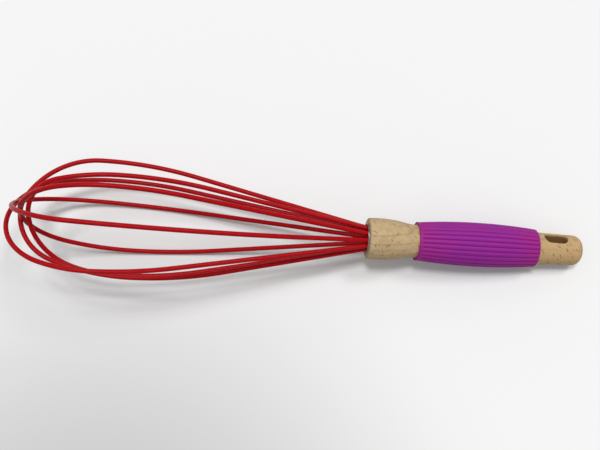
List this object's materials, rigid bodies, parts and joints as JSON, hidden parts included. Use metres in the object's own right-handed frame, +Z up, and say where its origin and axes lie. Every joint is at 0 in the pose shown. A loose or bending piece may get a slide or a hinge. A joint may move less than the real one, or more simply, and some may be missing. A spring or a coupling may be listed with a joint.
{
  "type": "balloon whisk",
  "caption": "Balloon whisk with silicone-coated wire loops, a turned wooden handle, a ribbed silicone grip and a hanging slot, lying on a table.",
  "frame": {"origin": "centre of the bounding box at the table that the whisk lies on", "axes": "+X from the wire cage to the handle's end, +Z up from the table; the whisk's own axis falls about 7 degrees towards the handle's end"},
  "size_m": [0.2976, 0.0628, 0.0759],
  "materials": {
    "beech": "oiled beech, fine sanded",
    "purple_silicone": "matt moulded silicone",
    "cup_steel": "drawn stainless steel",
    "plug_nylon": "moulded nylon",
    "clear_resin": "cast epoxy resin",
    "red_silicone": "satin silicone",
    "wire_steel": "drawn stainless spring wire"
  },
  "bodies": {
    "root": {"wood_handle": "beech", "grip_sleeve": "purple_silicone", "wire_cup": "cup_steel", "wire_plug": "plug_nylon", "potting_resin": "clear_resin", "wire_coating_1": "red_silicone", "wire_coating_2": "red_silicone", "wire_coating_3": "red_silicone", "wire_coating_4": "red_silicone", "wire_coating_5": "red_silicone", "wire_core_1": "wire_steel", "wire_core_2": "wire_steel", "wire_core_3": "wire_steel", "wire_core_4": "wire_steel", "wire_core_5": "wire_steel"}
  },
  "joints": []
}
